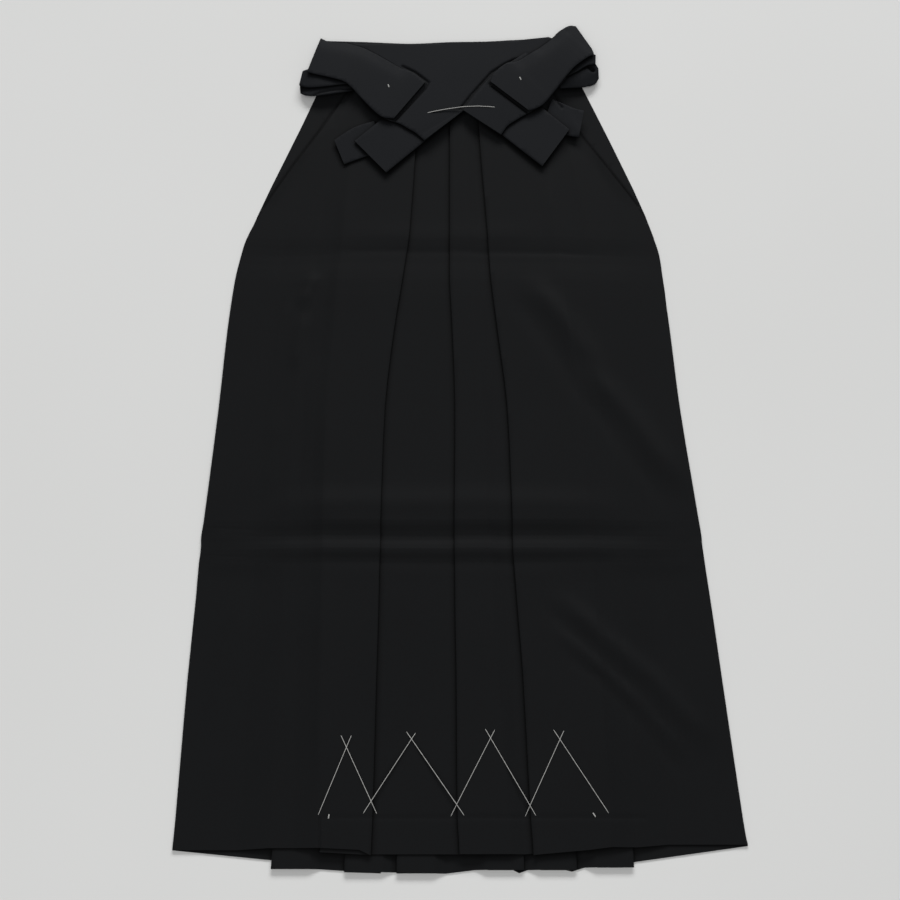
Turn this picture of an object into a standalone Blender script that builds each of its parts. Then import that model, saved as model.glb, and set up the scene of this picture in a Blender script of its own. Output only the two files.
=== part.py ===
"""Hakama trousers laid flat with the front up, their ties folded into a flat cross over the waistband.

The script works in metres. X runs across the garment, Y from the hem to the waist, and Z up from the
surface that it lies on. The tables hold millimetres, as a tailor writes sizes.
"""

import math
from collections import namedtuple

import bmesh
import bpy

MM = 0.001

# Cloth, its layers and its seams
CLOTH = 1.0 * MM
LAYER_PITCH = 1.4 * MM
SEAM_GAP = 0.3 * MM
TURN_STEPS = 3
PLEAT_LAYERS = 3
PLEAT_HEIGHT = CLOTH + (PLEAT_LAYERS - 1) * LAYER_PITCH

# How far a pleated surface takes to come down beside a pleat, and to rise onto the back panel's pleats
FRONT_RAMP = 26 * MM
RAMP_SHARE = 0.6
MIDDLE_RAMP = 15 * MM
BACK_RAMP = 13 * MM
HEM_PEEK = 5 * MM
HEM_STEP = 6 * MM
RISE = 32 * MM
RISE_CLEARANCE = 3 * MM
EDGE_SOFTENING = 30 * MM
LEAST_EDGE_LIFT = 0.25

# Waistbands and ties
BELT_BOTTOM = 467.3 * MM
BELT_THICKNESS = 3.9 * MM
TIE_THICKNESS = 2.1 * MM
TIE_SPAN_STEPS = 3
FRONT_SPAN_STEPS = 3
BACK_SPAN_STEPS = 2
SHARP_ANGLE = math.radians(50)

# The back panel's edges, the visible edges of its six pleats and their depth, at heights above mid length
BackSection = namedtuple(
    "BackSection",
    "y left left_outer left_middle left_inner right_inner right_middle right_outer right depth",
)
BACK_SECTIONS = (
    BackSection(467, -154, -108, -72, -36.5, 42.5, 77, 109, 155, 20.5),
    BackSection(412, -175, -123, -79, -39, 46, 86, 127, 178, 23),
    BackSection(358, -197, -135, -84, -42, 50, 93, 139, 200, 26),
    BackSection(290, -224, -148, -90, -45, 55, 101, 152, 226, 29),
    BackSection(233, -242, -158, -94, -47, 58, 106, 161, 241, 30),
    BackSection(150, -252, -166, -98, -49, 62, 112, 169, 247.5, 32),
    BackSection(50, -258.5, -171, -101, -51, 65, 116, 174, 255.5, 34),
    BackSection(-50, -266, -174, -103, -52, 68, 120, 178, 266, 35),
    BackSection(-104, -270, -175, -104, -53, 69, 121, 179.5, 272, 35),
    BackSection(-150, -272, -176, -105, -53.5, 70, 122.5, 181, 276, 36),
    BackSection(-250, -277, -178, -106, -54, 72, 125, 183, 285, 36),
    BackSection(-383, -281, -179.5, -107.5, -54.7, 74, 127.5, 185.5, 297, 37),
    BackSection(-433, -283.5, -182.5, -108, -55, 74.5, 128, 186, 303, 37),
)

# Where each piece of the back hem ends, from the garment's left to its right
BackHem = namedtuple("BackHem", "at_start at_end")
BACK_HEM = {
    "left_strip": BackHem(-434.3, -447.7),
    "left_outer": BackHem(-453.2, -457.2),
    "left_middle": BackHem(-456.3, -457),
    "centre": BackHem(-457.5, -454),
    "right_middle": BackHem(-457, -454),
    "right_outer": BackHem(-455.5, -451.5),
    "right_strip": BackHem(-446.8, -430),
}

# The front panel's edges, the visible edge and the hidden inner edge of each of its three pleats, and how
# far it stands off what it lies on: the dips and rises of the lift are the creases of storage
FrontSection = namedtuple(
    "FrontSection", "y left left_hidden left_edge mid_edge mid_hidden right_edge right_hidden right lift"
)
FRONT_SECTIONS = (
    FrontSection(467, -116, -99, -38, -1, 14, 32, 98, 115, 0),
    FrontSection(403, -152, -110, -40, -1, 15, 33.5, 107, 147, 0.2),
    FrontSection(358, -181, -116, -42, -1, 16, 36, 112, 178, 0.4),
    FrontSection(288, -222.5, -122, -46, -1, 18, 41, 119, 224.5, 0.9),
    FrontSection(258, -236, -124, -48, -1, 19, 43, 122, 235, 1.1),
    FrontSection(236, -241.5, -126, -51, -1, 20, 44, 124, 240.5, 0.3),
    FrontSection(205, -247, -129, -55, -1, 22, 46, 127, 243, 1.6),
    FrontSection(141, -253, -132, -64, 2, 27, 53, 132, 248.5, 1.2),
    FrontSection(48, -258.5, -137, -73, 5, 34, 63, 141, 255.5, 1.4),
    FrontSection(-84, -268.5, -137.5, -76, 4, 39, 67, 149, 270, 3.0),
    FrontSection(-101, -270.5, -137, -76, 4, 39.5, 67, 150, 272, 0.9),
    FrontSection(-115.5, -270, -137, -76, 4, 40, 67, 150.5, 272, 2.4),
    FrontSection(-131, -271.5, -137, -76.5, 4.5, 41, 68, 151.5, 274, 0.4),
    FrontSection(-193, -273.5, -136.5, -77, 5, 45, 72, 154, 280, 1.0),
    FrontSection(-254, -277, -136, -78, 6, 49, 76, 156.5, 285.5, 0.9),
    FrontSection(-404, -282, -134, -80, 7, 58, 82, 162, 299.5, 0.2),
    FrontSection(-433, -283.5, -133.5, -81, 8.8, 60, 84, 163, 303, 0),
)

# Where the front hem ends at each of its folds, and just beside the two dips
FRONT_HEM = {
    "left": -434.4,
    "left_hidden": -432.6,
    "left_dip_start": -434.6,
    "left_edge": -439.6,
    "left_under": -436.8,
    "middle": -438.8,
    "right_under": -430.8,
    "right_edge": -439.6,
    "right_dip_end": -434.6,
    "right_hidden": -431.8,
    "right": -428.8,
}
LEFT_DIP = 12 * MM
RIGHT_DIP = 58 * MM

# The waistbands' upper edge from end to end
BeltSection = namedtuple("BeltSection", "x top")
BELT_SECTIONS = (
    BeltSection(-153, 522.5),
    BeltSection(-104, 521),
    BeltSection(-46, 518.1),
    BeltSection(-2, 520.2),
    BeltSection(27, 519.7),
    BeltSection(70, 523.5),
    BeltSection(114, 525),
    BeltSection(158, 525),
)

# A tie lies between two edges. Each row gives a point on either edge, with the height of its underside there
TieSection = namedtuple("TieSection", "near_x near_y near_z far_x far_y far_z")
TIES = {
    "left_lower_tie": (
        TieSection(-2, 410.5, 8.4, -33, 456.5, 8.4),
        TieSection(-31, 381.5, 10.3, -66, 426, 10.3),
        TieSection(-75, 339.5, 11.6, -113, 381.5, 11.6),
    ),
    "left_lower_tie_under": (
        TieSection(-86, 367.5, 8.6, -90, 410.5, 8.6),
        TieSection(-104, 360.5, 8.6, -114, 401.5, 8.6),
        TieSection(-124.5, 352, 8.6, -137, 384.5, 8.4),
    ),
    "right_lower_tie": (
        TieSection(30, 420.5, 8.4, 62, 465.5, 8.4),
        TieSection(60, 390.5, 10.3, 93, 441, 10.3),
        TieSection(107, 348, 11.6, 140, 397, 11.6),
    ),
    "right_lower_tie_under": (
        TieSection(107, 399.5, 8.6, 121, 440.5, 8.6),
        TieSection(141, 390, 8.6, 146, 427.5, 8.6),
        TieSection(151, 388.5, 8.4, 158, 424.5, 8.3),
    ),
    "left_cross_tie": (
        TieSection(-90, 518.5, 8.4, -108, 445.5, 9.2),
        TieSection(-48, 516.5, 8.4, -92, 423, 12.3),
        TieSection(0, 518.9, 8.4, -76, 409.5, 13.3),
        TieSection(42, 519.6, 8.4, -62, 404.5, 13.3),
        TieSection(88, 522.4, 8.4, -55, 400.5, 13.3),
        TieSection(124, 523.6, 8.4, -50, 397, 13.3),
        TieSection(66, 463, 10.8, -42, 392, 13.1),
        TieSection(40, 441, 11.4, -36, 386.5, 12.9),
        TieSection(15, 422.5, 12.2, -31, 381.5, 12.9),
    ),
    "right_cross_tie": (
        TieSection(90, 502, 12.0, 138, 466.5, 13.5),
        TieSection(66, 484.5, 12.6, 122, 445.5, 13.3),
        TieSection(52, 473, 13.4, 109, 429.5, 13.4),
        TieSection(28, 441.5, 14.3, 69.5, 403, 13.2),
        TieSection(14.5, 421.5, 14.7, 59.5, 389, 13.1),
    ),
    "left_tie_flap": (
        TieSection(-156, 524, 10.6, -171, 474.5, 13.2),
        TieSection(-147.5, 519.6, 10.7, -163, 471.5, 13.5),
        TieSection(-126, 518, 10.8, -143, 466, 14.2),
        TieSection(-101, 509, 11.4, -124, 459, 14.2),
        TieSection(-58.5, 481.5, 12.5, -102, 433, 15.0),
        TieSection(-43, 472.3, 13.2, -82, 412, 16.1),
        TieSection(-30, 460, 13.8, -67, 409, 16.0),
    ),
    "right_tie_flap": (
        TieSection(151, 540.8, 9.0, 170, 506, 11.7),
        TieSection(143, 540.5, 10.5, 171.5, 498.5, 13.2),
        TieSection(131.5, 533.5, 12.6, 165, 494.5, 15.0),
        TieSection(120, 521, 14.2, 146, 478, 16.1),
        TieSection(81, 490, 14.7, 120, 442, 16.1),
        TieSection(67, 485.5, 15.4, 109.5, 428.5, 16.1),
        TieSection(52.5, 472, 16.3, 100.5, 422.5, 16.2),
        TieSection(47, 459, 16.9, 92.5, 419.5, 16.3),
    ),
    "left_fold_lower": (
        TieSection(-180.2, 462.5, 4.5, -179.2, 451.5, 4.4),
        TieSection(-172, 470, 6.3, -172, 446.5, 6.2),
        TieSection(-157, 469.5, 8.4, -157, 445, 8.3),
        TieSection(-117, 467.5, 8.4, -117, 451.5, 8.4),
    ),
    "left_fold_upper": (
        TieSection(-176.8, 479.5, 7.3, -180.6, 460, 7.1),
        TieSection(-170, 480.5, 9.4, -171, 455.5, 9.2),
        TieSection(-157, 481, 10.9, -157, 455, 10.9),
        TieSection(-119, 479, 10.9, -119, 460, 10.9),
    ),
    "right_fold_lower": (
        TieSection(131, 479.5, 8.4, 131, 456.5, 8.4),
        TieSection(150, 491.5, 8.4, 150, 457.5, 8.4),
        TieSection(163, 496.5, 8.3, 163, 459.3, 8.0),
        TieSection(172, 492, 7.0, 172.5, 463.5, 6.5),
        TieSection(177, 484, 5.8, 177.3, 471.5, 5.5),
    ),
    "right_fold_upper": (
        TieSection(138, 491, 10.9, 138, 469, 10.9),
        TieSection(152, 498, 10.9, 152, 477, 10.9),
        TieSection(165, 502, 10.8, 164, 485, 10.8),
        TieSection(174, 500.5, 9.3, 173.5, 487.5, 9.2),
    ),
}

CLOTH_BLACK = (0.012, 0.0125, 0.014, 1.0)
BAND_BLACK = (0.013, 0.013, 0.014, 1.0)
CLOTH_ROUGHNESS = 0.78
BAND_ROUGHNESS = 0.72

# One place that a panel's section passes: across, the layer it lies in, the layer it folds to, and its hem
Station = namedtuple("Station", "x layer fold_to hem")


def place(x, layer, hem):
    return Station(x, layer, None, hem)


def fold(x, layer, fold_to, hem):
    return Station(x, layer, fold_to, hem)


def in_metres(row):
    return type(row)(*(value * MM for value in row))


def between(low, high, share):
    return low + (high - low) * share


def smooth_sections(sections, span_steps):
    """A table in metres, with more sections between its rows, on a smooth curve through them."""
    rows = [in_metres(row) for row in sections]
    reach = [0.0]
    for before, after in zip(rows, rows[1:]):
        reach.append(reach[-1] + math.dist(before, after))
    last = len(rows) - 1
    slopes = []
    for number in range(len(rows)):
        low = max(number - 1, 0)
        high = min(number + 1, last)
        slopes.append([(b - a) / (reach[high] - reach[low]) for a, b in zip(rows[low], rows[high])])
    smooth = []
    for number in range(last):
        span = reach[number + 1] - reach[number]
        for step in range(span_steps):
            share = step / span_steps
            leave = (share**3 - 2 * share**2 + share) * span
            arrive = (share**3 - share**2) * span
            passed = 3 * share**2 - 2 * share**3
            columns = zip(rows[number], rows[number + 1], slopes[number], slopes[number + 1])
            values = [between(a, b, passed) + leave * s + arrive * t for a, b, s, t in columns]
            smooth.append(type(rows[0])(*values))
    return [*smooth, rows[-1]]


def read_off(table, column, y):
    """A column of a section table at any height between its rows."""
    rows = sorted(table, key=lambda row: row.y)
    y = min(max(y, rows[0].y), rows[-1].y)
    for below, above in zip(rows, rows[1:]):
        if y <= above.y:
            share = (y - below.y) / (above.y - below.y)
            return between(getattr(below, column), getattr(above, column), share)
    return getattr(rows[-1], column)


def layer_height(layer):
    return CLOTH / 2 + layer * LAYER_PITCH


def turn(station, heading):
    """The half turn of a fold, whose outermost surface lies at the station."""
    radius = LAYER_PITCH / 2
    centre_x = station.x - heading * (CLOTH / 2 + radius)
    centre_z = layer_height((station.layer + station.fold_to) / 2)
    upward = 1 if station.fold_to > station.layer else -1
    points = []
    for step in range(TURN_STEPS + 1):
        angle = upward * (step / TURN_STEPS - 0.5) * math.pi
        points.append((centre_x + heading * radius * math.cos(angle), centre_z + radius * math.sin(angle)))
    return points


def section_line(stations):
    """The middle line of the cloth through its stations, as points across, up and at the hem."""
    line = []
    for number, station in enumerate(stations):
        if station.fold_to is None:
            line.append((station.x, layer_height(station.layer), station.hem))
            continue
        heading = 1 if station.x > stations[number - 1].x else -1
        line.extend((x, z, station.hem) for x, z in turn(station, heading))
    return line


def mitred_normals(line):
    """Across-and-up normals of a section line, lengthened at its corners so that a wall keeps its thickness."""
    sides = []
    for (x, z), (next_x, next_z) in zip(line, line[1:]):
        length = math.hypot(next_x - x, next_z - z)
        sides.append(((z - next_z) / length, (next_x - x) / length))
    normals = [sides[0]]
    for before, after in zip(sides, sides[1:]):
        even = 1 + before[0] * after[0] + before[1] * after[1]
        normals.append(((before[0] + after[0]) / even, (before[1] + after[1]) / even))
    normals.append(sides[-1])
    return normals


def finish_mesh(name, bm, material):
    bmesh.ops.recalc_face_normals(bm, faces=bm.faces)
    if bm.calc_volume(signed=True) < 0:
        bmesh.ops.reverse_faces(bm, faces=bm.faces)
    mesh = bpy.data.meshes.new(name)
    bm.to_mesh(mesh)
    bm.free()
    mesh.shade_smooth()
    mesh.set_sharp_from_angle(angle=SHARP_ANGLE)
    mesh.materials.append(material)
    piece = bpy.data.objects.new(name, mesh)
    bpy.context.scene.collection.objects.link(piece)
    return piece


def cloth_wall(name, rows, material):
    """A closed wall of cloth around rows of middle points, each with its normal."""
    bm = bmesh.new()
    sheets = []
    for side in (1, -1):
        sheet = []
        for row in rows:
            ends = []
            for (x, y, z), (across, up) in row:
                offset = side * CLOTH / 2
                ends.append(bm.verts.new((x + across * offset, y, z + up * offset)))
            sheet.append(ends)
        sheets.append(sheet)
    outer, inner = sheets
    for sheet in sheets:
        for upper, lower in zip(sheet, sheet[1:]):
            for column in range(len(upper) - 1):
                bm.faces.new((upper[column], lower[column], lower[column + 1], upper[column + 1]))
    for column in range(len(outer[0]) - 1):
        for row in (0, -1):
            pair = (column, column + 1)
            bm.faces.new([outer[row][i] for i in pair] + [inner[row][i] for i in reversed(pair)])
    for row in range(len(outer) - 1):
        for column in (0, -1):
            pair = (row, row + 1)
            bm.faces.new([outer[i][column] for i in pair] + [inner[i][column] for i in reversed(pair)])
    return finish_mesh(name, bm, material)


def panel(name, sections, stations_at, rise_at, material):
    """A pleated panel: its section is worked out at each row of its table, and the last row follows the hem."""
    rows = []
    for section in sections:
        line = section_line(stations_at(section))
        raised = [(x, z + rise_at(section, x)) for x, z, _ in line]
        last = section is sections[-1]
        heights = [hem if last else section.y for _, _, hem in line]
        points = [(x, y, z) for (x, z), y in zip(raised, heights)]
        rows.append(list(zip(points, mitred_normals(raised))))
    return cloth_wall(name, rows, material)


def left_pleats(section, names, hems):
    """Knife pleats whose visible edges face the left: out to the hidden edge, back to the edge, and on."""
    stations = []
    for name, before, after in zip(names, hems, hems[1:]):
        edge = getattr(section, name)
        hidden = edge + section.depth
        stations.append(fold(hidden, 0, 1, BACK_HEM[before].at_end * MM))
        stations.append(fold(edge, 1, 2, BACK_HEM[after].at_start * MM))
        stations.append(place(hidden + CLOTH, 2, BACK_HEM[after].at_start * MM))
        stations.append(place(hidden + BACK_RAMP / 2, 1, BACK_HEM[after].at_start * MM))
        stations.append(place(hidden + BACK_RAMP, 0, BACK_HEM[after].at_start * MM))
    return stations


def right_pleats(section, names, hems):
    """The same pleats facing right: up onto the pleat, out to its edge, back below it to the hidden edge."""
    stations = []
    for name, before, after in zip(names, hems, hems[1:]):
        edge = getattr(section, name)
        hidden = edge - section.depth
        stations.append(place(hidden - BACK_RAMP, 0, BACK_HEM[before].at_end * MM))
        stations.append(place(hidden - BACK_RAMP / 2, 1, BACK_HEM[before].at_end * MM))
        stations.append(place(hidden - CLOTH, 2, BACK_HEM[before].at_end * MM))
        stations.append(fold(edge, 2, 1, BACK_HEM[before].at_end * MM))
        stations.append(fold(hidden, 1, 0, BACK_HEM[before].at_end * MM))
        stations.append(place(edge - HEM_PEEK - HEM_STEP, 0, BACK_HEM[before].at_end * MM))
        stations.append(place(edge - HEM_PEEK, 0, BACK_HEM[after].at_start * MM))
    return stations


def back_stations(section):
    left = left_pleats(
        section,
        ("left_outer", "left_middle", "left_inner"),
        ("left_strip", "left_outer", "left_middle", "centre"),
    )
    right = right_pleats(
        section,
        ("right_inner", "right_middle", "right_outer"),
        ("centre", "right_middle", "right_outer", "right_strip"),
    )
    first = place(section.left, 0, BACK_HEM["left_strip"].at_start * MM)
    last = place(section.right, 0, BACK_HEM["right_strip"].at_end * MM)
    return [first, *left, *right, last]


def rise_places(section, back_sections):
    """Where the front panel starts to rise onto the back panel's pleats and where it is up, on both sides."""
    left_pleat = read_off(back_sections, "left_outer", section.y)
    right_pleat = read_off(back_sections, "right_outer", section.y)
    left_ramp, right_ramp = side_ramps(section)
    left_up = min(left_pleat - RISE_CLEARANCE, section.left_hidden - left_ramp - CLOTH)
    right_up = max(right_pleat + RISE_CLEARANCE, section.right_hidden + right_ramp + CLOTH)
    left_start = max(section.left + CLOTH, left_up - RISE)
    right_start = min(section.right - CLOTH, right_up + RISE)
    return left_start, left_up, right_up, right_start


def side_ramps(section):
    left = min(FRONT_RAMP, RAMP_SHARE * (section.left_hidden - section.left))
    right = min(FRONT_RAMP, RAMP_SHARE * (section.right - section.right_hidden))
    return left, right


def front_stations(section, back_sections):
    hem = {name: value * MM for name, value in FRONT_HEM.items()}
    left_start, left_up, right_up, right_start = rise_places(section, back_sections)
    left_ramp, right_ramp = side_ramps(section)
    middle_ramp = min(MIDDLE_RAMP, section.right_edge - section.mid_hidden - 2 * CLOTH)
    return [
        place(section.left, 0, hem["left"]),
        place(left_start, 0, hem["left"]),
        place(left_up, 0, hem["left_hidden"]),
        place(section.left_hidden - left_ramp, 0, hem["left_hidden"]),
        place(section.left_hidden - left_ramp / 2, 1, hem["left_hidden"]),
        place(section.left_hidden - CLOTH, 2, hem["left_hidden"]),
        place(section.left_edge - LEFT_DIP, 2, hem["left_dip_start"]),
        fold(section.left_edge, 2, 1, hem["left_edge"]),
        fold(section.left_hidden, 1, 0, hem["left_under"]),
        place(section.left_edge, 0, hem["middle"]),
        fold(section.mid_hidden, 0, 1, hem["middle"]),
        fold(section.mid_edge, 1, 2, hem["middle"]),
        place(section.mid_hidden + CLOTH, 2, hem["middle"]),
        place(section.mid_hidden + middle_ramp / 2, 1, hem["middle"]),
        place(section.mid_hidden + middle_ramp, 0, hem["middle"]),
        fold(section.right_hidden, 0, 1, hem["right_under"]),
        fold(section.right_edge, 1, 2, hem["right_edge"]),
        place(section.right_edge + RIGHT_DIP, 2, hem["right_dip_end"]),
        place(section.right_hidden + CLOTH, 2, hem["right_hidden"]),
        place(section.right_hidden + right_ramp / 2, 1, hem["right_hidden"]),
        place(section.right_hidden + right_ramp, 0, hem["right_hidden"]),
        place(right_up, 0, hem["right_hidden"]),
        place(right_start, 0, hem["right"]),
        place(section.right, 0, hem["right"]),
    ]


def front_rise(section, x, back_sections):
    """How high the front panel's lowest layer lies: on one layer at the sides and on the pleats within."""
    left_start, left_up, right_up, right_start = rise_places(section, back_sections)
    from_left = (x - left_start) / (left_up - left_start)
    from_right = (right_start - x) / (right_start - right_up)
    share = min(max(min(from_left, from_right), 0), 1)
    resting = between(CLOTH, PLEAT_HEIGHT, share) + SEAM_GAP
    to_edge = min(x - section.left, section.right - x) / EDGE_SOFTENING
    softened = between(LEAST_EDGE_LIFT, 1, min(max(to_edge, 0), 1))
    return resting + section.lift * softened


def round_edge_ring(section, thickness):
    """A flat section with half-round edges, as points around it."""
    across = (section.far_x - section.near_x, section.far_y - section.near_y)
    width = math.hypot(*across)
    unit = (across[0] / width, across[1] / width)
    radius = thickness / 2
    ring = []
    for side, centre in ((1, width - radius), (-1, radius)):
        for step in range(TURN_STEPS + 1):
            angle = side * (step / TURN_STEPS - 0.5) * math.pi
            reach = centre + side * radius * math.cos(angle)
            share = reach / width
            height = between(section.near_z, section.far_z, share) + radius + radius * math.sin(angle)
            ring.append((section.near_x + unit[0] * reach, section.near_y + unit[1] * reach, height))
    return ring


def band(name, sections, thickness, material):
    """A closed flat band through its sections."""
    bm = bmesh.new()
    rings = []
    for section in sections:
        rings.append([bm.verts.new(point) for point in round_edge_ring(section, thickness)])
    count = len(rings[0])
    for ring, after in zip(rings, rings[1:]):
        for i in range(count):
            j = (i + 1) % count
            bm.faces.new((ring[i], ring[j], after[j], after[i]))
    bm.faces.new(rings[0])
    bm.faces.new(rings[-1])
    return finish_mesh(name, bm, material)


def belt(name, height, material):
    """A waistband: a straight thick band from end to end, whose upper edge waves a little."""
    sections = []
    for row in BELT_SECTIONS:
        x = row.x * MM
        sections.append(TieSection(x, row.top * MM, height, x, BELT_BOTTOM, height))
    return band(name, sections, BELT_THICKNESS, material)


def cloth_material(name, colour, roughness):
    material = bpy.data.materials.new(name)
    material.use_nodes = True
    shader = material.node_tree.nodes["Principled BSDF"]
    shader.inputs["Base Color"].default_value = colour
    shader.inputs["Roughness"].default_value = roughness
    shader.inputs["Metallic"].default_value = 0.0
    return material


def clear_scene():
    for item in list(bpy.data.objects):
        bpy.data.objects.remove(item)


def stand_on_origin(pieces):
    """Hang all pieces on one empty that puts the middle of their underside at the origin."""
    corners = [vertex.co for piece in pieces for vertex in piece.data.vertices]
    middle = [(min(c[axis] for c in corners) + max(c[axis] for c in corners)) / 2 for axis in (0, 1)]
    garment = bpy.data.objects.new("garment", None)
    bpy.context.scene.collection.objects.link(garment)
    for piece in pieces:
        piece.parent = garment
    garment.location = (-middle[0], -middle[1], -min(c[2] for c in corners))


def main():
    clear_scene()
    back_sections = smooth_sections(BACK_SECTIONS, BACK_SPAN_STEPS)
    front_sections = smooth_sections(FRONT_SECTIONS, FRONT_SPAN_STEPS)
    pieces = [
        panel(
            "back_panel",
            back_sections,
            back_stations,
            lambda section, x: 0.0,
            cloth_material("back_cloth", CLOTH_BLACK, CLOTH_ROUGHNESS),
        ),
        panel(
            "front_panel",
            front_sections,
            lambda section: front_stations(section, back_sections),
            lambda section, x: front_rise(section, x, back_sections),
            cloth_material("front_cloth", CLOTH_BLACK, CLOTH_ROUGHNESS),
        ),
        belt("back_belt", 0.0, cloth_material("back_belt_cloth", BAND_BLACK, BAND_ROUGHNESS)),
        belt(
            "front_belt",
            BELT_THICKNESS + SEAM_GAP,
            cloth_material("front_belt_cloth", BAND_BLACK, BAND_ROUGHNESS),
        ),
    ]
    for name, sections in TIES.items():
        material = cloth_material(name + "_cloth", BAND_BLACK, BAND_ROUGHNESS)
        pieces.append(band(name, smooth_sections(sections, TIE_SPAN_STEPS), TIE_THICKNESS, material))
    stand_on_origin(pieces)


main()
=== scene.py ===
# %% [markdown]
# # Hakama trousers laid flat
#
# The garment is a pair of pleated trousers in black twill. It lies on its back with the front up, pressed
# flat, with its ties folded into a cross over the waistband and white basting thread still in the pleats.
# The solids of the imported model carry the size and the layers. This script gives them the looks: cloth with
# soft creases, a fine twill, the sewing, and a plain pale table under soft light.

import math
from collections import namedtuple

import bpy
import numpy as np
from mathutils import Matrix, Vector, noise


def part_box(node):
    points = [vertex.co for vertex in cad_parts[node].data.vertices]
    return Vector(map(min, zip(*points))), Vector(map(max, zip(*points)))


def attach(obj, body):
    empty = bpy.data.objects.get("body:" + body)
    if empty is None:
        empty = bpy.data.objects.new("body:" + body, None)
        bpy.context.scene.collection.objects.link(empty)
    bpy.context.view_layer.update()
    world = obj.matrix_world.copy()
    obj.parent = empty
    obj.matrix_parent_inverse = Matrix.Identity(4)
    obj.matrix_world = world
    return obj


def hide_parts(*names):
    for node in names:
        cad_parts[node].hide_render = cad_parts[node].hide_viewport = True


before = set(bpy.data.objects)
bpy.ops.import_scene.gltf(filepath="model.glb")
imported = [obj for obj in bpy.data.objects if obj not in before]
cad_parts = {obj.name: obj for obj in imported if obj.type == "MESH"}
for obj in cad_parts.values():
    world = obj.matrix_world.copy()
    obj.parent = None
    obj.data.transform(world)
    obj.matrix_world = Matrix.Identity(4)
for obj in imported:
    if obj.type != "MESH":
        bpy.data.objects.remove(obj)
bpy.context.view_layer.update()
print("nodes:", len(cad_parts))

# %% [markdown]
# ## Where the sizes are measured from
#
# A tailor measures from the middle of the garment, so the tables below hold millimetres from there. The
# frame puts its own origin under the middle of the whole bounding box, a little to one side. One vector joins
# the two, read off the back panel's own corner, and every table passes through the same function.

# %% The garment's own middle
MM = 0.001
BACK_LEFT = -283.5
BACK_HEM = -457.5
back_low, back_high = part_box("back_panel")
GARMENT_MIDDLE = Vector((back_low[0] - BACK_LEFT * MM, back_low[1] - BACK_HEM * MM, 0))


def on_garment(x, y, z=0.0):
    return GARMENT_MIDDLE + Vector((x, y, z)) * MM


def garment_xy(points):
    """x and y of a row of points, in the garment's millimetres."""
    return (points[:, 0] - GARMENT_MIDDLE.x) / MM, (points[:, 1] - GARMENT_MIDDLE.y) / MM


print("garment's middle, mm:", [round(v / MM, 2) for v in GARMENT_MIDDLE])
print("back panel, mm:", [round((b - a) / MM, 1) for a, b in zip(back_low, back_high)])

# %% [markdown]
# ## The camera
#
# The garment is seen from its hem end and from nearly above, at 70 degrees over the table. A camera far away
# would flatten it, and a close one would spread the hem, so the distance and lens are worked out together
# from how fast the panel narrows with distance. Distances are in metres, and the lens in millimetres. The
# camera has no shift and no depth of field.

# %% Set up the camera
CAMERA_DISTANCE = 1.9
CAMERA_ELEVATION = math.radians(70)
CAMERA_SIDE = -0.7 * MM
LENS = 68.74
SENSOR = 36.0

bpy.ops.object.camera_add(
    location=GARMENT_MIDDLE
    + CAMERA_DISTANCE * Vector((0, -math.cos(CAMERA_ELEVATION), math.sin(CAMERA_ELEVATION)))
    + Vector((CAMERA_SIDE, 0, 0)),
    rotation=(math.pi / 2 - CAMERA_ELEVATION, 0, 0),
)
camera = bpy.context.active_object
camera.name = "camera"
camera.data.lens = LENS
camera.data.sensor_width = SENSOR
bpy.context.scene.camera = camera
print("camera at", [round(v, 3) for v in camera.location])

# %% [markdown]
# ## Soft light
#
# Black cloth shows its folds only by where the light comes from. The light here comes from beyond the waist,
# low enough that a slope facing the waist is lighter and one facing the hem darker. One large area light does
# that, a weaker one overhead opens the shadows, and a grey world fills the rest.

# %% Set up the lights
WORLD_GREY = 0.62
WORLD_STRENGTH = 0.36


def soft_light(name, place, size, power):
    """An area light that looks at the garment's middle."""
    bpy.ops.object.light_add(type="AREA", location=place)
    light = bpy.context.active_object
    light.name = name
    light.data.shape = "RECTANGLE"
    light.data.size = size[0]
    light.data.size_y = size[1]
    light.data.energy = power
    light.rotation_euler = (GARMENT_MIDDLE - Vector(place)).to_track_quat("-Z", "Y").to_euler()


soft_light("window", place=(0.7, 8.0, 4.1), size=(7.0, 2.5), power=790)
soft_light("ceiling", place=(-0.2, -1.35, 3.0), size=(2.2, 2.2), power=39)
world = bpy.data.worlds.new("room")
world.use_nodes = True
backdrop = world.node_tree.nodes["Background"]
backdrop.inputs["Color"].default_value = (WORLD_GREY, WORLD_GREY, WORLD_GREY, 1)
backdrop.inputs["Strength"].default_value = WORLD_STRENGTH
bpy.context.scene.world = world
bpy.context.scene.view_settings.view_transform = "Standard"

# %% [markdown]
# ## Writing finishes as sums
#
# A material is a graph of nodes, and a long graph is hard to read. A small class wraps one socket, so that
# `weave * 0.5 + 0.2` adds the two Math nodes by itself. Every other kind of node comes from its one `node`
# method: the settings are set first, then the values or links of the sockets.

# %% A socket with arithmetic
class Wire:
    """A socket of a material's graph. Sums of wires add Math nodes."""

    def __init__(self, tree, socket=None):
        self.tree = tree
        self.socket = socket

    def node(self, kind, settings=None, inputs=None, output=0):
        made = self.tree.nodes.new(kind)
        for name, value in (settings or {}).items():
            setattr(made, name, value)
        for name, value in (inputs or {}).items():
            if isinstance(value, Wire):
                self.tree.links.new(value.socket, made.inputs[name])
            else:
                made.inputs[name].default_value = value
        return Wire(self.tree, made.outputs[output])

    def math(self, operation, *values):
        return self.node("ShaderNodeMath", {"operation": operation}, dict(enumerate(values)))

    def __add__(self, other):
        return self.math("ADD", self, other)

    __radd__ = __add__

    def __sub__(self, other):
        return self.math("SUBTRACT", self, other)

    def __rsub__(self, other):
        return self.math("SUBTRACT", other, self)

    def __mul__(self, other):
        return self.math("MULTIPLY", self, other)

    __rmul__ = __mul__


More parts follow.
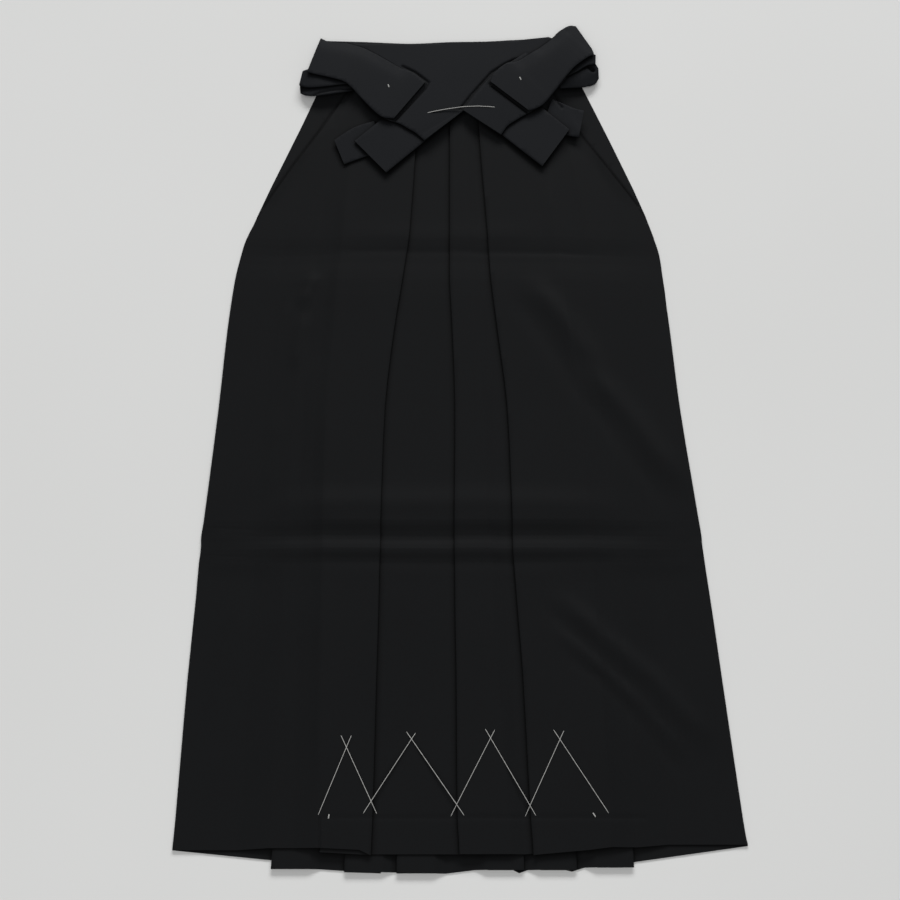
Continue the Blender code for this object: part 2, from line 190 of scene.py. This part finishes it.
def new_finish(name):
    """A material with its Principled shader and a wire to write its pattern with."""
    material = bpy.data.materials.new(name)
    material.use_nodes = True
    return material, material.node_tree.nodes["Principled BSDF"], Wire(material.node_tree)


# %% [markdown]
# ## Black twill
#
# The cloth is a fine, tightly woven twill: slanting ribs less than half a millimetre apart, each broken where
# a yarn dives under its neighbour. From a step away the ribs melt into a soft sheen, so they are bump, with
# a faint change of colour. The pattern reads Object coordinates, so it has its real scale on every piece. A
# piece cut along another direction gets the same finish turned to its own grain, by a Mapping node.
# Pressing leaves some places a little shinier than others, which is a slow noise in the roughness.
# Painted shade: an Ambient Occlusion node darkens the colour towards black in narrow corners where layers
# meet.

# %% Make the twill finish
RIB_PITCH = 0.62 * MM
RIB_SLANT = 1.35
YARN_PITCH = 0.45 * MM
YARN_ACROSS = 1.1
YARN_ALONG = 0.6
BUMP_HEIGHT = 0.12 * MM
DARKEST_SHARE = 0.62
LIGHTEST_SHARE = 1.32
# Painted shade in corners: how far it reaches, how steeply it darkens, and the black it falls to.
PAINTED_SHADE_REACH = 7 * MM
PAINTED_SHADE_DEPTH = 3.5
PAINTED_SHADE_BLACK = (0.0004, 0.0004, 0.0004, 1)


def twill(name, turn, shade):
    """Black twill whose grain is turned by an angle, with its own shade of black."""
    material, shader, wire = new_finish(name)
    place = wire.node("ShaderNodeTexCoord", output="Object")
    grain = wire.node(
        "ShaderNodeMapping", {"vector_type": "POINT"}, {"Vector": place, "Rotation": (0, 0, turn)}
    )
    across = wire.node("ShaderNodeSeparateXYZ", {}, {"Vector": grain}, output="X")
    along = wire.node("ShaderNodeSeparateXYZ", {}, {"Vector": grain}, output="Y")
    ribs = ((across + along * RIB_SLANT) * (2 * math.pi / RIB_PITCH)).math("SINE")
    yarns = ((across * YARN_ACROSS - along * YARN_ALONG) * (2 * math.pi / YARN_PITCH)).math("SINE")
    weave = ribs * 0.5 + yarns * 0.22
    slow = wire.node(
        "ShaderNodeTexNoise", {}, {"Vector": place, "Scale": 9.0, "Detail": 3.0, "Roughness": 0.5}
    )
    lint = wire.node("ShaderNodeTexNoise", {}, {"Vector": place, "Scale": 420.0, "Detail": 2.0})
    tone = slow * 0.45 + lint * 0.35 + weave * 0.12 + 0.2
    dark = tuple(DARKEST_SHARE * value for value in shade)
    light = tuple(LIGHTEST_SHARE * value for value in shade)
    cloth = tone.node(
        "ShaderNodeMix",
        {"data_type": "RGBA", "clamp_factor": True},
        {0: tone, 6: (*dark, 1), 7: (*light, 1)},
        output=2,
    )
    # Painted shade: the cloth's colour falls towards black wherever the Ambient Occlusion node finds other
    # surfaces near.
    painted_shade_occlusion = wire.node("ShaderNodeAmbientOcclusion", {"samples": 8}, {"Distance": PAINTED_SHADE_REACH}, output="AO")
    unshaded_share = painted_shade_occlusion.math("POWER", painted_shade_occlusion, PAINTED_SHADE_DEPTH)
    colour = wire.node(
        "ShaderNodeMix",
        {"data_type": "RGBA", "clamp_factor": True},
        {0: unshaded_share, 6: PAINTED_SHADE_BLACK, 7: cloth},
        output=2,
    )
    roughness = slow * 0.22 + lint * 0.08 + 0.5
    bump = wire.node(
        "ShaderNodeBump", {}, {"Strength": 0.35, "Distance": BUMP_HEIGHT, "Height": weave + lint * 0.8}
    )
    wire.tree.links.new(colour.socket, shader.inputs["Base Color"])
    wire.tree.links.new(roughness.socket, shader.inputs["Roughness"])
    wire.tree.links.new(bump.socket, shader.inputs["Normal"])
    shader.inputs["Specular IOR Level"].default_value = 0.055
    shader.inputs["Sheen Weight"].default_value = 0.012
    shader.inputs["Sheen Roughness"].default_value = 0.45
    return material


PANEL_BLACK = (0.0064, 0.0068, 0.0074)
BAND_BLACK = (0.0082, 0.0090, 0.0106)
panel_twill = twill("panel_twill", 0.0, PANEL_BLACK)
print("twill nodes:", len(panel_twill.node_tree.nodes))

# %% [markdown]
# ## A piece starts on its solid
#
# Each visible piece of cloth lies exactly on its solid, so it starts as a copy of that node. The node's
# triangles are loose, so the copy is merged and its triangles joined to quads again. Straight cuts then
# divide it into small cells, closer together where a crease needs them. Cutting was chosen over Subdivide,
# which would make thin strips thinner still and leave the wide ones coarse.

# %% Copy a node and cut it into cells
MERGE = 0.002 * MM
SHARP_CLOTH = math.radians(55)


def select_only(piece):
    bpy.ops.object.select_all(action="DESELECT")
    piece.select_set(True)
    bpy.context.view_layer.objects.active = piece


def start_on(node, name):
    """A new piece in the shape of a node, with its points merged and its faces joined to quads."""
    select_only(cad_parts[node])
    bpy.ops.object.duplicate()
    piece = bpy.context.active_object
    for key in list(piece.keys()):
        del piece[key]
    piece.name = name
    piece.data.name = name
    piece.data.materials.clear()
    bpy.ops.object.mode_set(mode="EDIT")
    bpy.ops.mesh.select_all(action="SELECT")
    bpy.ops.mesh.customdata_custom_splitnormals_clear()
    bpy.ops.mesh.remove_doubles(threshold=MERGE)
    bpy.ops.mesh.tris_convert_to_quads()
    bpy.ops.object.mode_set(mode="OBJECT")
    return piece


def cut_across(piece, places, direction):
    """Cuts a piece by a row of planes that face one direction."""
    select_only(piece)
    bpy.ops.object.mode_set(mode="EDIT")
    for place in places:
        bpy.ops.mesh.select_all(action="SELECT")
        bpy.ops.mesh.bisect(plane_co=place * direction, plane_no=direction)
    bpy.ops.object.mode_set(mode="OBJECT")


def points_of(piece):
    points = np.empty(len(piece.data.vertices) * 3)
    piece.data.vertices.foreach_get("co", points)
    return points.reshape(-1, 3)


def move_points(piece, points):
    piece.data.vertices.foreach_set("co", points.ravel())
    piece.data.update()


def finish_cloth(piece, material, slot, *nodes):
    """Smooth shading, the finish, and what the piece stands for."""
    select_only(piece)
    bpy.ops.object.shade_smooth_by_angle(angle=SHARP_CLOTH)
    piece.data.materials.append(material)
    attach(piece, "root")
    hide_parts(*nodes)
    print(piece.name, "faces:", len(piece.data.polygons))


# %% [markdown]
# ## The creases, placed one by one
#
# The cloth was folded in three for storage, so two creases run across it. Soft diagonal troughs lie where the
# right side was pulled, and shorter ones at the left hip. Each row of the table is one crease: the path that
# it takes, how wide it is, how far it rises or sinks, and over what length it dies away at its ends. No two
# are alike. All layers move together by the same field, so walls that lie on each other never cross.

# %% Table of creases, in millimetres
Crease = namedtuple("Crease", "path width rise fade")
CREASES = (
    # the lower storage crease, sharper in the middle
    Crease(((-215, -68), (-90, -66), (20, -65), (110, -67), (205, -70)), 15, 2.6, 90),
    Crease(((-180, -84), (-50, -86), (60, -84), (175, -85)), 8, 1.2, 70),
    Crease(((-195, -101), (-60, -103), (60, -101.5), (190, -101)), 7, -0.6, 80),
    Crease(((-190, -118), (0, -119), (190, -119)), 6, 0.6, 70),
    # where the same crease dies away towards both sides
    Crease(((-275, -101), (-185, -101)), 9, 1.1, 30),
    Crease(((185, -101), (275, -101)), 9, 1.1, 30),
    Crease(((-275, -131), (-175, -131)), 9, 0.9, 30),
    Crease(((160, -131), (278, -131)), 9, 0.9, 30),
    Crease(((-165, -131), (-70, -130), (20, -132), (150, -130)), 7, -0.6, 60),
    # the upper storage crease
    Crease(((-140, 262), (0, 260), (120, 264)), 12, 0.5, 70),
    Crease(((-150, 240), (-20, 241), (120, 238), (190, 238)), 3.5, -0.4, 60),
    # diagonal troughs and the ridges beside them, right side
    Crease(((66, 196), (108, 130), (150, 62)), 9, -1.1, 45),
    Crease(((84, 214), (130, 150), (176, 76)), 12, 3.2, 55),
    Crease(((118, 98), (178, 22), (246, -80)), 8, -1.1, 50),
    Crease(((142, 112), (204, 32), (262, -58)), 12, 3.8, 60),
    Crease(((92, -170), (146, -226), (196, -268), (240, -322), (264, -362)), 6, -1.1, 40),
    Crease(((108, -160), (160, -212), (212, -256), (254, -306), (276, -340)), 9, 3.3, 50),
    Crease(((112, -222), (160, -262), (204, -310), (256, -376)), 6, -1.1, 45),
    Crease(((104, -198), (158, -246), (204, -290), (254, -352)), 6, 2.3, 45),
    # short pulls at the left hip
    Crease(((-156, 208), (-172, 190), (-184, 164)), 5, -1.1, 18),
    Crease(((-149, 216), (-161, 196), (-173, 166)), 6, 1.9, 20),
    Crease(((-163, 166), (-172, 128), (-176, 90)), 6, 1.5, 22),
    Crease(((-150, 120), (-160, 10)), 12, 0.7, 40),
    Crease(((-190, 60), (-205, -60)), 14, 0.7, 45),
    Crease(((-225, -130), (-240, -330)), 20, 0.8, 70),
    # long soft folds over the hidden pleats
    Crease(((-116, 345), (-138, 45), (-134, -390)), 8, 1.1, 60),
    Crease(((111, 350), (141, 60), (161, -390)), 8, 0.8, 60),
    # the front's free edges at both side openings, which stand up a little
    Crease(((-114, 475), (-152, 403), (-181, 358), (-216, 298)), 5, 1.2, 30),
    Crease(((113, 475), (147, 403), (178, 358), (216, 300)), 5, 1.2, 30),
)


def along_path(path, x, y):
    """How far points are from a path of straight stretches, how far along it, and its length."""
    nearest = np.full_like(x, np.inf)
    reached = np.zeros_like(x)
    walked = 0.0
    for (ax, ay), (bx, by) in zip(path, path[1:]):
        length = math.dist((ax, ay), (bx, by))
        inside = np.clip(((x - ax) * (bx - ax) + (y - ay) * (by - ay)) / length**2, 0, 1)
        away = np.hypot(x - ax - inside * (bx - ax), y - ay - inside * (by - ay))
        reached = np.where(away < nearest, walked + inside * length, reached)
        nearest = np.minimum(nearest, away)
        walked += length
    return nearest, reached, walked


def crease_field(x, y):
    """How far the cloth rises at points given in garment millimetres."""
    rise = np.zeros_like(x)
    for crease in CREASES:
        away, reached, length = along_path(crease.path, x, y)
        ends = np.clip(np.minimum(reached, length - reached) / crease.fade, 0, 1)
        strength = ends * ends * (3 - 2 * ends)
        rise += crease.rise * strength * np.exp(-((away / crease.width) ** 2))
    return rise


sample = crease_field(np.array([0.0, 0.0, 200.0]), np.array([-116.0, 100.0, 20.0]))
print("creases:", len(CREASES), "sample rises, mm:", sample.round(2))

# %% [markdown]
# ## Unevenness and the hem
#
# Pressed cloth is never quite flat. A slow noise, a few tenths of a millimetre deep, breaks the long panels
# up, and it is seeded by place alone, so each run gives the same cloth.
# The front hem is turned up about 38 mm and sewn, which leaves a shallow groove and draws the band below in.

# %% Small unevenness, the sewn hem and where the field fades out
WAVE_SIZE = 70.0
WAVE_STRETCH = 1.6
WAVE_DEPTH = 0.32
WAVE_SLICE = 0.37
HEM_SEAM_Y = -402.0
HEM_SEAM_WIDTH = 2.2
HEM_SEAM_DEPTH = 0.55
HEM_SEAM_ENDS = (-130.0, 200.0)
HEM_SINK = 0.2
FAR_ABOVE_HEM = 50.0
FIELD_TOP = 430.0
FIELD_FADE = 40.0
LOWEST_MOVE = -1.0


def slow_waves(x, y):
    places = zip(x / WAVE_SIZE, y / (WAVE_STRETCH * WAVE_SIZE))
    return np.array([noise.noise((a, b, WAVE_SLICE)) for a, b in places]) * WAVE_DEPTH


def hem_field(x, y):
    inside = (x > HEM_SEAM_ENDS[0]) & (x < HEM_SEAM_ENDS[1])
    groove = -HEM_SEAM_DEPTH * inside * np.exp(-(((y - HEM_SEAM_Y) / HEM_SEAM_WIDTH) ** 2))
    band = -HEM_SINK * inside / (1 + np.exp(np.minimum(y - HEM_SEAM_Y, FAR_ABOVE_HEM)))
    return groove + band


def cloth_field(x, y):
    """The whole rise of the front cloth and of all that lies on it."""
    fade = np.clip((FIELD_TOP - y) / FIELD_FADE, 0, 1)
    return (crease_field(x, y) + slow_waves(x, y)) * fade + hem_field(x, y)


def lay_creases(piece):
    """Moves a piece's points up and down by the field of the cloth."""
    points = points_of(piece)
    x, y = garment_xy(points)
    rise = np.maximum(cloth_field(x, y), LOWEST_MOVE)
    points[:, 2] += rise * MM
    move_points(piece, points)
    print(piece.name, "moved by, mm:", rise.min().round(2), "to", rise.max().round(2))


# %% [markdown]
# ## Press marks
#
# Where one piece presses on another it leaves a narrow groove along its edge. The free edges of the two upper
# ends are worn thin instead, so they melt into the waistband, and the loops at both ends of the waistband are
# hollow between their turns. All are rows of one table: a path in the garment's millimetres, how wide the
# mark is, and how far the upper side and the underside sink.
# A narrow groove needs finer cells, so only the faces near its path are shown and cut again.

# %% Table of press marks and how they are made
NARROW = 3.0
FACING_UP = 0.1
MARK_CELL = 1.3
MARK_REACH = 6.0

Mark = namedtuple("Mark", "node path width top under")
MARKS = (
    # under the left upper end, along the tie that lies over the other, and under the right upper end
    Mark(
        "left_cross_tie", ((-57, 483.5), (-43, 475.5), (-26.5, 461), (-31, 452), (-66, 407.5)),
        width=1.7, top=1.7, under=0,
    ),
    Mark(
        "left_cross_tie", ((82, 494.5), (76, 493), (64, 486), (49, 475), (25.5, 444.5), (11.5, 424)),
        width=1.7, top=1.7, under=0,
    ),
    Mark("right_cross_tie", ((47, 457), (92.5, 417.5)), 1.7, 1.6, 0),
    # beside the front's free edges at both side openings
    Mark("back_panel", ((-118, 467), (-154.5, 403), (-183.5, 358), (-218, 300)), 1.5, 0.8, 0),
    Mark("back_panel", ((117, 467), (149.5, 403), (180.5, 358), (218, 302)), 1.5, 0.8, 0),
    # a small fold beside the right lower tie, and the turn of the hem at the hidden pleat
    Mark("right_lower_tie_under", ((122, 442), (132, 428)), 1.5, 1.4, 0),
    Mark("front_panel", ((-134, -403), (-133.5, -434)), 1.3, 0.8, 0),
    # the turns inside the two loops: a thin third turn on the left, and on the right the open mouth
    Mark(
        "left_fold_lower", ((-163, 445), (-154.5, 449), (-143.5, 451.5), (-132, 453.5), (-115, 454.5)),
        width=1.6, top=1.4, under=0,
    ),
    Mark("right_fold_lower", ((141, 476.5), (150, 482.5), (159, 487), (166, 487), (170, 481)), 2.8, 1.8, 0.6),
    Mark("right_fold_lower", ((158, 485.5), (164, 486.5), (170, 481)), 2.8, 2.0, 1.8),
    # the loops' low outer edges, which turn down
    Mark("right_fold_lower", ((131, 455), (150, 456), (163, 458), (176, 468)), 8.0, 3.0, 2.8),
    Mark("left_fold_lower", ((-181, 450), (-176, 457)), 5.0, 2.0, 1.2),
    # edges that melt into the waistband
    Mark("left_cross_tie", ((-110, 524), (-112, 508), (-114, 488)), 16.0, 1.3, 0.1),
    Mark("left_tie_flap", ((-150, 524), (-126, 519), (-101, 511), (-60, 484)), 11.0, 2.5, 0.9),
    Mark("right_tie_flap", ((84, 493), (98, 503), (121, 522)), 11.0, 1.8, 0.4),
    Mark("right_tie_flap", ((106, 510), (121, 522), (133, 534)), 8.0, 2.2, 2.0),
)


def cut_near(piece, path):
    """Cuts only the faces near a path into finer cells."""
    x, y = garment_xy(np.array([face.center for face in piece.data.polygons]))
    near = along_path(path, x, y)[0] < MARK_REACH
    select_only(piece)
    bpy.ops.object.mode_set(mode="EDIT")
    bpy.ops.mesh.select_all(action="DESELECT")
    bpy.ops.object.mode_set(mode="OBJECT")
    piece.data.polygons.foreach_set("select", near)
    bpy.ops.object.mode_set(mode="EDIT")
    bpy.ops.mesh.hide(unselected=True)
    for axis in (0, 1):
        low = min(point[axis] for point in path) - MARK_REACH
        high = max(point[axis] for point in path) + MARK_REACH
        direction = Vector((1 - axis, axis, 0))
        for step in range(math.ceil((high - low) / MARK_CELL)):
            at = (low + step * MARK_CELL) * MM + GARMENT_MIDDLE[axis]
            bpy.ops.mesh.select_all(action="SELECT")
            bpy.ops.mesh.bisect(plane_co=at * direction, plane_no=direction)
    bpy.ops.mesh.reveal()
    bpy.ops.object.mode_set(mode="OBJECT")


def press_marks(piece, node):
    """Sinks a piece's upper side along its marks, and its underside by less."""
    for mark in MARKS:
        if mark.node != node:
            continue
        if mark.width < NARROW:
            cut_near(piece, mark.path)
        points = points_of(piece)
        x, y = garment_xy(points)
        away, _, _ = along_path(mark.path, x, y)
        facing = np.array([vertex.normal.z for vertex in piece.data.vertices])
        depth = np.where(facing > FACING_UP, mark.top, mark.under)
        points[:, 2] -= depth * np.exp(-((away / mark.width) ** 2)) * MM
        move_points(piece, points)


# %% [markdown]
# ## Back and front panels
#
# The back panel lies flat on the table and shows only at the hips and below the front hem, so it keeps its
# flat underside and is cut coarsely. The front panel has cells of 6 mm, and rows of 2.5 mm at the creases and
# the hem.

# %% Make the two panels
COARSE_CELL = 9.0
CELL = 6.0
FINE_CELL = 2.5
FINE_BANDS = ((-455, -390), (-140, -85), (222, 262))


def cell_places(low, high, cell, bands=()):
    """Places of the cuts in garment millimetres, closer together inside the bands."""
    places = []
    at = low
    while at < high:
        fine = any(start <= at <= end for start, end in bands)
        at += FINE_CELL if fine else cell
        places.append(at)
    return places


def cut_into_cells(piece, cell, bands=()):
    """Cuts a piece along both directions, in rows that are finer inside the bands."""
    painted_shade_occlusion = points_of(piece)
    low = (painted_shade_occlusion.min(axis=0) - GARMENT_MIDDLE) / MM
    high = (painted_shade_occlusion.max(axis=0) - GARMENT_MIDDLE) / MM
    rows = [at * MM + GARMENT_MIDDLE.y for at in cell_places(low[1], high[1], cell, bands)]
    columns = [at * MM + GARMENT_MIDDLE.x for at in cell_places(low[0], high[0], cell)]
    cut_across(piece, rows, Vector((0, 1, 0)))
    cut_across(piece, columns, Vector((1, 0, 0)))


back_cloth = start_on("back_panel", "back_cloth")
cut_into_cells(back_cloth, COARSE_CELL)
press_marks(back_cloth, "back_panel")
finish_cloth(back_cloth, panel_twill, "panel_cloth", "back_panel")

front_cloth = start_on("front_panel", "front_cloth")
cut_into_cells(front_cloth, CELL, FINE_BANDS)
lay_creases(front_cloth)
press_marks(front_cloth, "front_panel")
finish_cloth(front_cloth, panel_twill, "panel_cloth", "front_panel")

# %% [markdown]
# ## Waistbands and ties
#
# The waistbands are stiff and stay straight. The ties are long flat tubes of the same cloth, folded back and
# forth. Each stretch that shows is a piece with its own grain direction, so its twill is turned to lie along
# it. The grain is given in degrees.

# %% Make the bands and ties
TIE_CELL = 4.0
TUCK = 27.0
TUCK_FROM = (-62.0, 455.0)
TUCK_OVER = (26.0, 40.0)
TIE_GRAIN = {
    "front_belt": 90,
    "back_belt": 90,
    "left_cross_tie": -40,
    "left_tie_flap": 52,
    "left_lower_tie": -48,
    "left_lower_tie_under": -70,
    "left_fold_lower": 90,
    "left_fold_upper": 85,
    "right_cross_tie": 48,
    "right_tie_flap": -48,
    "right_lower_tie": 42,
    "right_lower_tie_under": 80,
    "right_fold_lower": 100,
    "right_fold_upper": 110,
}


def tuck_under(tie):
    """Stretches the upper left corner of the tie further under the piece that lies on it."""
    points = points_of(tie)
    x, y = garment_xy(points)
    to_left = np.clip((TUCK_FROM[0] - x) / TUCK_OVER[0], 0, 1)
    to_top = np.clip((y - TUCK_FROM[1]) / TUCK_OVER[1], 0, 1)
    points[:, 0] -= TUCK * to_left * to_top * MM
    move_points(tie, points)


ties = {}
for node, grain in TIE_GRAIN.items():
    tie = start_on(node, node.replace("_tie", "_band") + "_cloth")
    cut_into_cells(tie, TIE_CELL)
    if node != "back_belt":
        lay_creases(tie)
    if node == "left_cross_tie":
        tuck_under(tie)
    press_marks(tie, node)
    finish_cloth(tie, twill(node + "_twill", math.radians(grain), BAND_BLACK), "tie_cloth", node)
    ties[node] = tie

# %% [markdown]
# ## The table
#
# A plain pale top. A real one isn't perfectly even, so a very slow noise moves its colour by a few percent.

# %% Make the table
TABLE_SIZE = 12.0
bpy.ops.mesh.primitive_plane_add(size=TABLE_SIZE, location=(0, 0, 0))
table = bpy.context.active_object
table.name = "table"
table_finish, table_shader, table_wire = new_finish("table_white")
table_place = table_wire.node("ShaderNodeTexCoord", output="Object")
cloudy = table_wire.node("ShaderNodeTexNoise", {}, {"Vector": table_place, "Scale": 1.6, "Detail": 2.0})
table_colour = table_wire.node(
    "ShaderNodeMix",
    {"data_type": "RGBA"},
    {0: cloudy, 6: (0.695, 0.698, 0.688, 1), 7: (0.745, 0.748, 0.742, 1)},
    output=2,
)
table_wire.tree.links.new(table_colour.socket, table_shader.inputs["Base Color"])
table_shader.inputs["Roughness"].default_value = 0.6
table_shader.inputs["Specular IOR Level"].default_value = 0.25
table.data.materials.append(table_finish)

# %% [markdown]
# ## Basting thread
#
# White cotton holds the pleats and the folded ties until the first wear. Each stitch is one straight stretch
# of thread that comes up through the cloth and goes down again. It is a circle extruded from step to step,
# pulled straight from one high place of the cloth to the next, with its two ends sunk in the cloth. The tacks
# are sewn with the thread doubled, so they are twice as thick. The stitch over the ties is a little looser.

# %% Make the stitches
THREAD = 0.7 * MM
TACK_THREAD = 1.4 * MM
TIE_THREAD = 0.85 * MM
THREAD_SIDES = 8
STITCH_STEP = 5 * MM
ABOVE = 100.0
RESTING = 0.35
END_SINK = 0.8
SHARP_THREAD = math.radians(50)

Stitch = namedtuple("Stitch", "from_x from_y to_x to_y")
HEM_STITCHES = (
    Stitch(-135.3, -399.6, -103.0, -318.1),
    Stitch(-113.9, -318.1, -75.8, -398.0),
    Stitch(-89.4, -398.0, -36.4, -315.0),
    Stitch(-46.0, -313.9, 13.8, -400.3),
    Stitch(0.2, -400.5, 45.8, -312.5),
    Stitch(35.9, -311.6, 87.2, -400.7),
    Stitch(76.3, -400.7, 117.6, -313.3),
    Stitch(106.8, -312.3, 161.4, -397.8),
)
TACKS = (
    Stitch(-124.9, -403.2, -124.2, -399.0),
    Stitch(145.4, -397.6, 148.0, -401.6),
    Stitch(-74.4, 456.2, -73.1, 452.4),
    Stitch(82.0, 465.2, 83.6, 461.2),
)
TIE_STITCH = (
    Stitch(-27.2, 418.6, -7.1, 422.5),
    Stitch(-7.1, 422.5, 13.5, 425.3),
    Stitch(13.5, 425.3, 33.1, 426.4),
    Stitch(33.1, 426.4, 52.1, 425.5),
)


def cloth_height(x, y):
    """The highest cloth under a point of the garment, in metres."""
    start = on_garment(x, y, ABOVE)
    heights = [0.0]
    for piece in (front_cloth, *ties.values()):
        hit, place, _, _ = piece.ray_cast(start, Vector((0, 0, -1)))
        if hit:
            heights.append(place.z)
    return max(heights)


def pulled_tight(route):
    """A thread's points raised to the straight lines between the highest places under it."""
    reach = [(point - route[0]).length for point in route]
    tight = []
    for middle, at in zip(route, reach):
        height = middle.z
        for low, low_at in zip(route, reach):
            for high, high_at in zip(route, reach):
                if low_at < at < high_at:
                    share = (at - low_at) / (high_at - low_at)
                    height = max(height, low.z + (high.z - low.z) * share)
        tight.append(Vector((middle.x, middle.y, height)))
    return tight


def thread_route(stitches):
    """Points along a chain of stitches, resting on the cloth, with both ends sunk in it."""
    route = []
    for stitch in stitches:
        start = on_garment(stitch.from_x, stitch.from_y)
        end = on_garment(stitch.to_x, stitch.to_y)
        steps = max(2, round((end - start).length / STITCH_STEP))
        for step in range(steps + (stitch is stitches[-1])):
            share = step / steps
            x = stitch.from_x + (stitch.to_x - stitch.from_x) * share
            y = stitch.from_y + (stitch.to_y - stitch.from_y) * share
            route.append(on_garment(x, y, (cloth_height(x, y) + RESTING * THREAD) / MM))
    route = pulled_tight(route)
    route[0].z -= END_SINK * THREAD
    route[-1].z -= END_SINK * THREAD
    return route


def thread_piece(name, routes, thickness):
    """One mesh of round threads, each extruded along its route."""
    bpy.ops.object.select_all(action="DESELECT")
    parts = []
    for route in routes:
        heading = (route[-1] - route[0]).normalized()
        bpy.ops.mesh.primitive_circle_add(
            vertices=THREAD_SIDES,
            radius=thickness / 2,
            fill_type="NGON",
            location=route[0],
            rotation=heading.to_track_quat("Z", "Y").to_euler(),
        )
        bpy.ops.object.mode_set(mode="EDIT")
        bpy.ops.mesh.select_all(action="SELECT")
        for before, after in zip(route, route[1:]):
            bpy.ops.mesh.extrude_region_move(TRANSFORM_OT_translate={"value": after - before})
        bpy.ops.mesh.select_all(action="SELECT")
        bpy.ops.mesh.normals_make_consistent(inside=False)
        bpy.ops.object.mode_set(mode="OBJECT")
        parts.append(bpy.context.active_object)
    bpy.ops.object.select_all(action="DESELECT")
    for part in parts:
        part.select_set(True)
    bpy.context.view_layer.objects.active = parts[0]
    bpy.ops.object.join()
    piece = bpy.context.active_object
    piece.name = name
    bpy.ops.object.transform_apply(location=True, rotation=True, scale=True)
    bpy.ops.object.shade_smooth_by_angle(angle=SHARP_THREAD)
    return piece


hem_basting = thread_piece("hem_basting", [thread_route([stitch]) for stitch in HEM_STITCHES], THREAD)
tacks = thread_piece("basting_tacks", [thread_route([stitch]) for stitch in TACKS], TACK_THREAD)
tie_basting = thread_piece("tie_basting", [thread_route(TIE_STITCH)], TIE_THREAD)
print("threads:", [len(piece.data.polygons) for piece in (hem_basting, tacks, tie_basting)])

# %% [markdown]
# ## Cotton
#
# The thread is two plies twisted together. A wave that runs slantwise over it, by Object coordinates, gives
# the twist, and the colour is a soft white a little greyed by the cloth under it.

# %% Finish the thread
PLY_PITCH = 1.1 * MM
PLY_DEPTH = 0.2 * MM
cotton, cotton_shader, cotton_wire = new_finish("basting_cotton")
cotton_place = cotton_wire.node("ShaderNodeTexCoord", output="Object")
plies = cotton_wire.node(
    "ShaderNodeTexWave",
    {"wave_type": "BANDS", "bands_direction": "DIAGONAL"},
    {"Vector": cotton_place, "Scale": 0.3 / PLY_PITCH, "Distortion": 0.4},
)
cotton_colour = cotton_wire.node(
    "ShaderNodeMix",
    {"data_type": "RGBA"},
    {0: plies, 6: (0.37, 0.37, 0.355, 1), 7: (0.48, 0.48, 0.465, 1)},
    output=2,
)
cotton_bump = cotton_wire.node(
    "ShaderNodeBump", {}, {"Strength": 0.5, "Distance": PLY_DEPTH, "Height": plies}
)
cotton_wire.tree.links.new(cotton_colour.socket, cotton_shader.inputs["Base Color"])
cotton_wire.tree.links.new(cotton_bump.socket, cotton_shader.inputs["Normal"])
cotton_shader.inputs["Roughness"].default_value = 0.8
cotton_shader.inputs["Specular IOR Level"].default_value = 0.2
for piece in (hem_basting, tacks, tie_basting):
    piece.data.materials.append(cotton)
    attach(piece, "root")

# %% [markdown]
# ## What the cloth was cut to
#
# Each piece of cloth is listed with the flat size that shows, pleats opened out: width and length in
# metres, and the flat area in square metres. The panels are wider at the hem than at the waist, so their area
# is less than width times length. Half of each piece's surface is printed beside it, because cloth has two
# sides.

Cut = namedtuple("Cut", "width length area held rests_on")
PANEL_CUTS = {
    back_cloth: Cut(1.031, 0.925, 0.821, "laid", ("table",)),
    front_cloth: Cut(0.952, 0.907, 0.756, "laid", ("back_cloth",)),
}
TIE_CUTS = {
    "back_belt": Cut(0.059, 0.312, 0.0177, "laid", ("table",)),
    "front_belt": Cut(0.059, 0.312, 0.0177, "laid", ("back_belt",)),
    "left_lower_tie": Cut(0.060, 0.112, 0.0062, "folded", ("front_belt", "front_panel")),
    "left_lower_tie_under": Cut(0.043, 0.050, 0.0020, "folded", ("front_panel",)),
    "left_cross_tie": Cut(0.145, 0.232, 0.0207, "folded", ("front_belt", "left_lower_tie")),
    "left_tie_flap": Cut(0.062, 0.145, 0.0083, "folded", ("left_cross_tie", "left_fold_upper")),
    "left_fold_lower": Cut(0.025, 0.061, 0.0014, "folded", ("front_belt",)),
    "left_fold_upper": Cut(0.026, 0.061, 0.0015, "folded", ("left_fold_lower",)),
    "right_lower_tie": Cut(0.061, 0.110, 0.0064, "folded", ("front_belt", "front_panel")),
    "right_lower_tie_under": Cut(0.043, 0.050, 0.0018, "folded", ("front_panel",)),
    "right_cross_tie": Cut(0.060, 0.125, 0.0072, "folded", ("left_cross_tie", "right_lower_tie")),
    "right_tie_flap": Cut(0.058, 0.140, 0.0074, "folded", ("right_cross_tie", "right_fold_upper")),
    "right_fold_lower": Cut(0.037, 0.046, 0.0016, "folded", ("front_belt",)),
    "right_fold_upper": Cut(0.022, 0.042, 0.0008, "folded", ("right_fold_lower",)),
}


def cloth_area(piece):
    return sum(face.area for face in piece.data.polygons) / 2


cuts = {**PANEL_CUTS, **{ties[node]: cut for node, cut in TIE_CUTS.items()}}
for piece, cut in cuts.items():
    print(piece.name, "flat area, m2:", cut.area, "modelled:", round(cloth_area(piece), 4))
